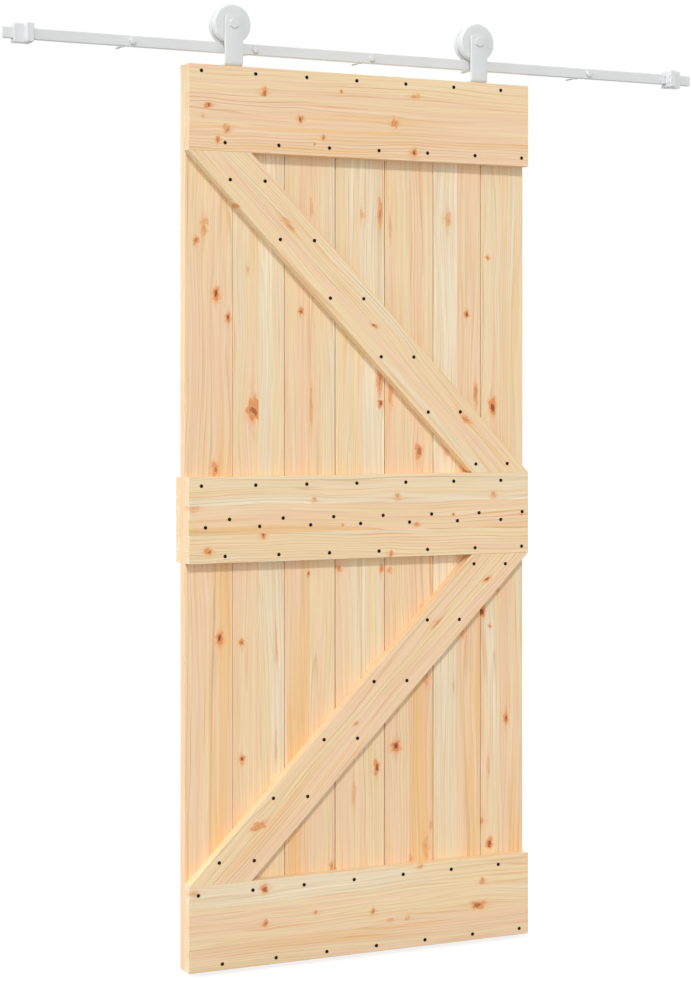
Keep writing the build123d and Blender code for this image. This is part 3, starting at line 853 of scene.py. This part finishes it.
for name in [name for name in nodes if name.endswith("_nails")]:
    front, back = box_of(name)[:, 1]
    face = front + nail_height
    length = back - face
    # The dome, its rim, then the shank and its point.
    profile = [(0, nail_height), (0.0018, nail_height * 0.93), (0.003, nail_height * 0.66)]
    profile += [(nail_radius, nail_height * 0.12), (nail_radius * 0.97, 0), (nail_shank, 0)]
    profile += [(nail_shank * 0.8, -length * 0.9), (0, -length)]
    spots = [(x, face, z) for x, z in head_places(name)]
    placed(name, profile, spots, sides=14, crease=35)
    print(name, len(spots))

# %% [markdown]
# ## Wheels and bushes
# The wheels are turned from solid steel: two flanges with a groove between them that straddles
# the bar, and rounded cheeks. The frame gives each wheel's place and size, and the profile is
# half of its section, mirrored. The bush is a thin bronze tube in the bore.

# %% Wheels
groove_step, groove_depth, flange_lip, cheek = 0.0065, 0.004, 0.0008, 0.005
face_margin = 0.001  # a row this far inside the cheek keeps the face flat
bush_wall, bush_edge = 0.003, 0.0004


def arc(centre_radius, centre_height, radius, start, end, count):
    """Rows of a profile along an arc, with its angles in degrees from the outward direction."""
    angle = np.radians(np.linspace(start, end, count))
    across = centre_radius + radius * np.cos(angle)
    return np.column_stack([across, centre_height + radius * np.sin(angle)])


def mirrored(section):
    """A ring's whole section from its upper half: the half, then the same turned over."""
    return np.vstack([section, (section * (1, -1))[::-1]])


for side in ("left", "right"):
    low, high = box_of(f"{side}_wheel")
    centre, half, rim = (low + high) / 2, (high[1] - low[1]) / 2, (high[2] - low[2]) / 2
    bush_low, bush_high = box_of(f"{side}_wheel_bush")
    bush, bush_half = (bush_high[2] - bush_low[2]) / 2, (bush_high[1] - bush_low[1]) / 2
    hollow = rim - groove_depth + flange_lip
    section = [
        [(bush, half), (rim - cheek - face_margin, half)],
        arc(rim - cheek, half - cheek, cheek, 90, 0, 12),
        arc(rim - flange_lip, groove_step + flange_lip, flange_lip, 0, -90, 4),
        arc(hollow, groove_step - flange_lip, flange_lip, 90, 180, 4),
    ]
    section = mirrored(np.vstack(section))
    placed(f"{side}_wheel", section, [centre], sides=96, ring=True, crease=30)
    section = [(bush - bush_wall, bush_half), (bush - bush_edge, bush_half)]
    section = mirrored(np.array([*section, (bush, bush_half - bush_edge)]))
    placed(f"{side}_wheel_bush", section, [centre], sides=64, ring=True, crease=35)
print("wheel radius, mm:", round(rim * 1000, 1))

# %% [markdown]
# ## Hanger straps
# A strap is flat bar with rounded corners at the top, bent back into a foot under the wheel. It
# is worked out flat first: an outline, and rows of points that follow the outline a little
# further in and further up, which eases the edge. Then the flat strap is wrapped round the bend,
# as a smith would do it.

# %% Flat strap
strap_thickness, strap_bend, strap_ease, foot_corner = 0.006, 0.005, 0.001, 0.006
strap_top, top_corner = 0.020, 0.010  # above the axle, and its corner radius


def both_sides(half):
    """A closed outline from its right half, which starts and ends on the middle line or beside
    it. The first point is on that line and isn't repeated."""
    return np.vstack([half, (half * (-1, 1))[:0:-1]])


def flat_strap(half, total, stations):
    """The outline of the flat strap as (across, down) from the middle of its top, with the
    direction in which each point faces. The stations are the places down its straight side."""
    angle = np.radians(np.linspace(0, 90, 9))
    across, down = np.sin(angle), 1 - np.cos(angle)
    side = [
        [(0, 0), (half * 0.3, 0)],
        np.column_stack([half - top_corner + top_corner * across, top_corner * down]),
        np.column_stack([np.full(len(stations), half), stations]),
        np.column_stack([half - foot_corner * down, total - foot_corner + foot_corner * across]),
    ]
    facing = [
        [(0, -1), (0, -1)],
        np.column_stack([across, down - 1]),
        np.tile([1.0, 0.0], (len(stations), 1)),
        np.column_stack([1 - down, across]),
    ]
    return both_sides(np.vstack(side)), both_sides(np.vstack(facing))


print("strap thickness, mm:", strap_thickness * 1000)

# %% [markdown]
# The bend takes a length equal to a quarter circle at the middle of the bar's thickness. Points
# before it stay on the upright, points after it lie on the foot, and the rest turn with it.

# %% Bent straps
turn_radius = strap_bend + strap_thickness / 2


def hanger_strap(low, high):
    """The points and faces of a strap that fills the box from low to high."""
    bend_y = low[1] + strap_thickness + strap_bend
    bend_z = low[2] + strap_thickness + strap_bend
    straight, curve = high[2] - bend_z, turn_radius * math.pi / 2
    total = straight + curve + high[1] - bend_y
    stations = np.linspace(top_corner, straight, 12)[1:]
    stations = np.append(stations, straight + np.linspace(0, curve, 10)[1:])
    outline, normal = flat_strap((high[0] - low[0]) / 2, total, stations)

    rise = np.radians([0, 30, 60, 90])
    inset = strap_ease * (1 - np.sin(rise))
    lift = strap_thickness / 2 - strap_ease * (1 - np.cos(rise))
    inset, lift = np.append(inset, inset[::-1]), np.append(lift, -lift[::-1])
    flat = outline[None] - normal[None] * inset[:, None, None]
    across, along = flat[..., 0], flat[..., 1]
    height = np.broadcast_to(lift[:, None], across.shape)
    angle = np.clip((along - straight) / turn_radius, 0, math.pi / 2)
    reach = turn_radius + height
    y = bend_y - reach * np.cos(angle) + np.maximum(along - straight - curve, 0)
    z = bend_z - reach * np.sin(angle) + np.maximum(straight - along, 0)
    points = np.stack([across + (low[0] + high[0]) / 2, y, z], axis=2).reshape(-1, 3)

    count = len(outline)
    row, step = np.arange(len(inset) - 1)[:, None] * count, np.arange(count)
    after = (step + 1) % count
    edge = np.stack([row + step, row + after, row + count + after, row + count + step], axis=2)
    pair = np.arange(1, count // 2)
    strip = np.stack([pair, pair + 1, (count - pair - 1) % count, count - pair], axis=1)
    tip = np.array([[0, 1, count - 1]])
    back = (len(inset) - 1) * count
    quads = np.vstack([edge.reshape(-1, 4), strip[:, ::-1], back + strip])
    return points, outward(points, [quads, np.vstack([tip[:, ::-1], back + tip])])


for side in ("left", "right"):
    low, high = box_of(f"{side}_hanger_strap")
    high[2] = box_of(f"{side}_wheel").mean(axis=0)[2] + strap_top
    points, faces = hanger_strap(low, high)
    name = f"{side}_hanger_strap"
    finished(name, shell(name, points, *faces), crease=40)
    print(name, "height, mm:", round((high[2] - low[2]) * 1000, 1))

# %% [markdown]
# ## Bolts, screws and rings
# A hexagonal head is a prism cut by a blunt cone, so its rim dips at each corner. In rows that
# is a radius and a height that change with the angle. Nuts, washers and spacers are rings.

# %% Heads and rings
around = np.linspace(0, 2 * math.pi, 48, endpoint=False)
blunt = math.tan(math.radians(30))


def hexagon(flats, turn=0.0):
    """The radius of a hexagon at each angle, from the distance across its flats."""
    return flats / 2 / np.cos((around - math.radians(turn)) % (math.pi / 3) - math.pi / 6)


def hex_rows(flats, height, turn=0.0):
    """Rows of a hexagonal head from the edge of its flat top to its base."""
    flat_top = 0.47 * flats
    side = hexagon(flats, turn)
    return [(flat_top, height), (side, height - (side - flat_top) * blunt), (side, 0)]


def ring_rows(inner, outer, start, end, edge=0.0002):
    """Rows of a ring between two heights, with its outer edges eased."""
    low_edge = [(inner, start), (outer - edge, start), (outer, start + edge)]
    return low_edge + [(outer, end - edge), (outer - edge, end), (inner, end)]


print("a head's corner stands out by", round(hexagon(1).max() / hexagon(1).min() - 1, 3))

# %% [markdown]
# Each axle is a bolt through the strap and the wheel, with a washer on both sides of the wheel
# and a nut behind. Their places come from the wheels, and their lengths from the frame.

# %% Axle bolts, nuts and washers
axle, axle_flats, head_height, point_bevel = 0.007, 0.022, 0.0034, 0.001
nut_bore, washer_bore, washer, washer_thickness = 0.0071, 0.00725, 0.013, 0.0015
strap_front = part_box("left_hanger_strap")[0][1]
axles = [box_of(f"{side}_wheel").mean(axis=0) * (1, 0, 1) for side in ("left", "right")]

shank_end = strap_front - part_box("axle_bolts")[1][1]
rows = [(0, head_height)] + hex_rows(axle_flats, head_height, 30)
rows += [(axle, 0), (axle, shank_end + point_bevel), (axle - point_bevel, shank_end)]
rows.append((0, shank_end))
placed("axle_bolts", rows, [spot + (0, strap_front, 0) for spot in axles])

nut_front, nut_back = box_of("axle_nuts")[:, 1]
nut_height = nut_back - nut_front
rows = [(nut_bore, nut_height)] + hex_rows(axle_flats, nut_height, 30) + [(nut_bore, 0)]
spots = [spot + (0, nut_front, 0) for spot in axles]
placed("axle_nuts", rows, spots, ring=True, axes=to_room * (1, -1, -1))

washer_front, washer_back = box_of("axle_washers")[:, 1]
depths = (washer_front + washer_thickness, washer_back)
spots = [spot + (0, depth, 0) for spot in axles for depth in depths]
rows = ring_rows(washer_bore, washer, 0, washer_thickness)
placed("axle_washers", rows, spots, ring=True)
print("axle bolt length, mm:", round(-shank_end * 1000, 1))

# %% [markdown]
# The wall screws hold the bar. The thread is a crest that climbs one pitch with each turn, and
# it dies out towards the point. A tube on each screw keeps the bar off the wall.

# %% Wall screws and spacers
bar_low, bar_high = box_of("track_bar")
screw_low, screw_high = box_of("wall_screws")
screw_flats, screw_height, screw_shank, screw_spacing = 0.014, 0.0064, 0.0036, 0.305
thread, thread_core, thread_pitch, thread_step = 0.004, 0.0029, 0.0032, 0.0004
point_length, spacer_play = 0.007, 0.0003
screw_x = (screw_low[0] + screw_high[0]) / 2 + screw_spacing * np.arange(-2, 3)

rows = [(0, screw_height)] + hex_rows(screw_flats, screw_height)
rows += [(screw_shank, 0), (screw_shank, bar_low[1])]
point = bar_low[1] - screw_high[1]
for height in np.arange(bar_low[1], point + thread_step / 2, -thread_step)[1:]:
    climb = (height / thread_pitch - around / (2 * math.pi)) % 1
    crest = np.clip((1 - abs(2 * climb - 1) - 0.5) / 0.4, 0, 1)
    taper = min(1, (height - point) / point_length)
    rows.append((taper * (thread_core + (thread - thread_core) * crest), height))
rows.append((0, point))
placed("wall_screws", rows, [(x, bar_low[1], 0) for x in screw_x], crease=50)

spacer_low, spacer_high = box_of("wall_spacers")
spacer = (spacer_high[2] - spacer_low[2]) / 2
rows = ring_rows(thread + spacer_play, spacer, spacer_low[1] - spacer_high[1], 0)
placed("wall_spacers", rows, [(x, spacer_low[1], 0) for x in screw_x], ring=True)
print("wall screw length, mm:", round(-point * 1000, 1))

# %% [markdown]
# Two screws go down through the foot of each strap into the boards. They stand upright, so
# their axis stays Z.

# %% Foot screws
foot_flats, foot_height, foot_shank, foot_point, foot_step = 0.008, 0.0035, 0.0025, 0.005, 0.012
for side in ("left", "right"):
    low, high = box_of(f"{side}_foot_screws")
    tip = low[2] - high[2] + foot_height
    rows = [(0, foot_height)] + hex_rows(foot_flats, foot_height)
    rows += [(foot_shank, 0), (foot_shank, tip + foot_point), (0, tip)]
    centre = (low + high) / 2
    spots = [
        (centre[0], centre[1] + step, high[2] - foot_height) for step in (-foot_step, foot_step)
    ]
    placed(f"{side}_foot_screws", rows, spots, axes=np.eye(3))
print("foot screw length, mm:", round(-tip * 1000, 1))

# %% [markdown]
# ## End stops
# An end stop is a collar on the bar with a plate in front of it, and a buffer screwed to the
# plate. Collar, plate and buffer are blocks of a few large cells with an opening for the bar,
# and a bevel eases their edges. One stop is the mirror image of the other.

# %% End stops
bar_play, stop_ease, plate_front, plate_thickness = 0.0002, 0.0009, 0.007, 0.006


def cell_block(name, filled, *lattice):
    """A block of cells, filled or empty, whose edges a bevel eases."""
    points, faces = block_skin(filled, *[np.array(row) for row in lattice])
    finished(name, shell(name, points, faces), bevel=stop_ease)


def end_stop(side, outward_sign):
    """The collar and plate of one stop, as 2 by 4 by 3 cells with the bar's opening left empty,
    and the buffer before its plate. Gives the place of the buffer's inner face."""
    low, high = box_of(f"{side}_stop_block")
    ys = [low[1], bar_low[1] - plate_front, bar_low[1] - bar_play, bar_high[1] + bar_play, high[1]]
    zs = [low[2], bar_low[2] - bar_play, bar_high[2] + bar_play, high[2]]
    plate_face, end_face = (high[0], low[0]) if side == "left" else (low[0], high[0])
    xs = sorted([plate_face, plate_face + outward_sign * plate_thickness, end_face])
    filled = np.ones((2, 4, 3), bool)
    filled[:, 2, 1] = False
    filled[0 if side == "left" else 1, 0] = False
    cell_block(f"{side}_stop_block", filled, xs, ys, zs)
    buffer_x = box_of(f"{side}_stop_buffer")[:, 0]
    plate = filled[1:] if side == "left" else filled[:1]
    cell_block(f"{side}_stop_buffer", plate, buffer_x, ys, zs)
    return buffer_x.max() if side == "left" else buffer_x.min()


print("plate of an end stop, mm thick:", plate_thickness * 1000)

# %% [markdown]
# Four socket screws go through each buffer into its plate, and two grub screws clamp the collar
# on the bar from above. A hexagonal socket is a step in the rows, down to its floor.

# %% Screws of the end stops
dome, dome_height, dome_key, dome_shank, dome_length = 0.0031, 0.0024, 0.0025, 0.00175, 0.013
grub, grub_stands, grub_key, grub_edge, grub_step = 0.003, 0.0003, 0.003, 0.0003, 0.006
dome_floor, grub_floor = dome_height - 0.0014, -0.0025  # of the sockets


def stop_screws(side, outward_sign, face):
    """A stop's four buffer screws, turned about an axis along the bar, and its two grub screws,
    turned about an upright axis."""
    low, high = box_of(f"{side}_buffer_screws")
    key = hexagon(dome_key)
    rows = [(0, dome_floor), (key, dome_floor), (key, dome_height), (0.0019, dome_height)]
    rows += [(0.0027, dome_height * 0.75), (dome, dome_height * 0.3), (dome, 0)]
    rows += [(dome_shank, 0), (dome_shank, -dome_length), (0, -dome_length)]
    heights = (low[2] + dome, high[2] - dome)
    spots = [(face, y, z) for y in (low[1] + dome, high[1] - dome) for z in heights]
    inward = np.array([[0, -outward_sign, 0], [0, 0, 1], [-outward_sign, 0, 0]])
    placed(f"{side}_buffer_screws", rows, spots, axes=inward, crease=40)

    low, high = box_of(f"{side}_set_screws")
    key, length = hexagon(grub_key), high[2] - low[2]
    rows = [(0, grub_floor), (key, grub_floor), (key, grub_stands)]
    rows += [(grub - grub_edge, grub_stands), (grub, 0), (grub, -length), (0, -length)]
    centre = (low + high) / 2
    spots = [(centre[0] + step, centre[1], high[2]) for step in (-grub_step, grub_step)]
    placed(f"{side}_set_screws", rows, spots, axes=np.eye(3))


for side, outward_sign in (("left", -1), ("right", 1)):
    face = end_stop(side, outward_sign)
    stop_screws(side, outward_sign, face)
    print(side, "stop, inner face at x, m:", round(face, 4))

# %% [markdown]
# ## The CAD piece that stays
# The bar keeps its CAD shape and gets its finish.

# %% Finish on the CAD piece
kept = []
for name, slot in slot_of.items():
    piece = nodes[name]
    if not piece.hide_render:
        piece.data.materials.clear()
        piece.data.materials.append(finishes[slot])
        kept.append(name)
print("CAD pieces kept:", kept)

# %% [markdown]
# ## The floor
# The floor is plain and pale, and the camera sees it white with the door's soft shadow. A white
# floor would throw up so much light that the shadows under the rails would fade. So the rays
# that light the door meet a duller floor instead, which shines more in front of the boards than
# behind them.

# %% Floor
floor_height, floor_reach = cad_low[2] - 0.012, 30
floor_mesh = bpy.data.meshes.new("floor")
ends = [(-1, -1), (1, -1), (1, 1), (-1, 1)]
corners = [(x * floor_reach, y * floor_reach, floor_height) for x, y in ends]
floor_mesh.from_pydata(corners, [], [(0, 1, 2, 3)])
floor = bpy.data.objects.new("floor", floor_mesh)
bpy.context.scene.collection.objects.link(floor)


def emptied(owner):
    """A material's or world's node tree, without its nodes."""
    owner.use_nodes = True
    owner.node_tree.nodes.clear()
    return owner.node_tree


def shown_or_lighting(tree, output, lighting, shown):
    """The camera, and what mirrors or glass show it, meet one shader. The rest meet another."""
    path = node(tree, "LightPath").outputs
    seen = maths(tree, "MAXIMUM", path["Is Camera Ray"], path["Is Glossy Ray"])
    seen = maths(tree, "MAXIMUM", seen, path["Is Transmission Ray"])
    chosen = node(tree, "MixShader", {0: seen, 1: lighting.outputs[0], 2: shown.outputs[0]})
    node(tree, output, {0: chosen.outputs[0]})


floor_material = bpy.data.materials.new("floor")
tree = emptied(floor_material)
before = node(tree, "SeparateXYZ", {0: node(tree, "NewGeometry").outputs["Position"]}).outputs[1]
dull = node(tree, "Emission", {"Strength": ease(tree, before, -0.24, -0.1, 0.52, 0.3)})
matt = node(tree, "BsdfDiffuse", {"Color": (0.35, 0.35, 0.35, 1)})
glow = node(tree, "Emission", {"Color": (1, 1, 1, 1), "Strength": 0.76})
both = node(tree, "AddShader", {0: matt.outputs[0], 1: glow.outputs[0]})
shown_or_lighting(tree, "OutputMaterial", dull, both)
floor_mesh.materials.append(floor_material)
print("floor, m below the bar:", round(-floor_height, 4))

# %% [markdown]
# ## The light
# The light is that of a white studio. The sky is white where the camera sees it. As a lamp it is
# bright near the horizon and dim overhead, so that ledges don't glow and every corner keeps a
# dark line. A key lamp at the upper left, in front, gives the short shadows under the rails and
# beside the braces. A soft lamp from the left lights the door's edge, and one behind it the back.

# %% Light
world = bpy.data.worlds.new("studio")
bpy.context.scene.world = world
tree = emptied(world)
height = node(tree, "SeparateXYZ", {0: node(tree, "TexCoord").outputs["Generated"]}).outputs[2]
sky = node(tree, "Background", {"Strength": ease(tree, height, 0.3, 0.9, 1.08, 0.1)})
white = node(tree, "Background", {"Color": (1, 1, 1, 1), "Strength": 1.0})
shown_or_lighting(tree, "OutputWorld", sky, white)


def soft_sun(name, towards, level, softness):
    """A far lamp that stands towards a direction and lights a facing surface to a level, at
    which 1 shows a colour as it is written. Softness is the lamp's width in degrees."""
    light = bpy.data.lights.new(name, "SUN")
    light.energy = level * math.pi
    light.angle = math.radians(softness)
    lamp = bpy.data.objects.new(name, light)
    bpy.context.scene.collection.objects.link(lamp)
    lamp.rotation_euler = Vector(towards).to_track_quat("Z", "Y").to_euler()


soft_sun("key", (-0.27, -0.75, 0.6), 0.405, 5)
soft_sun("side", (-0.87, 0.0, 0.5), 0.52, 40)
soft_sun("back", (0.45, 0.85, 0.25), 0.5, 60)
print("lamps:", len(bpy.data.lights))
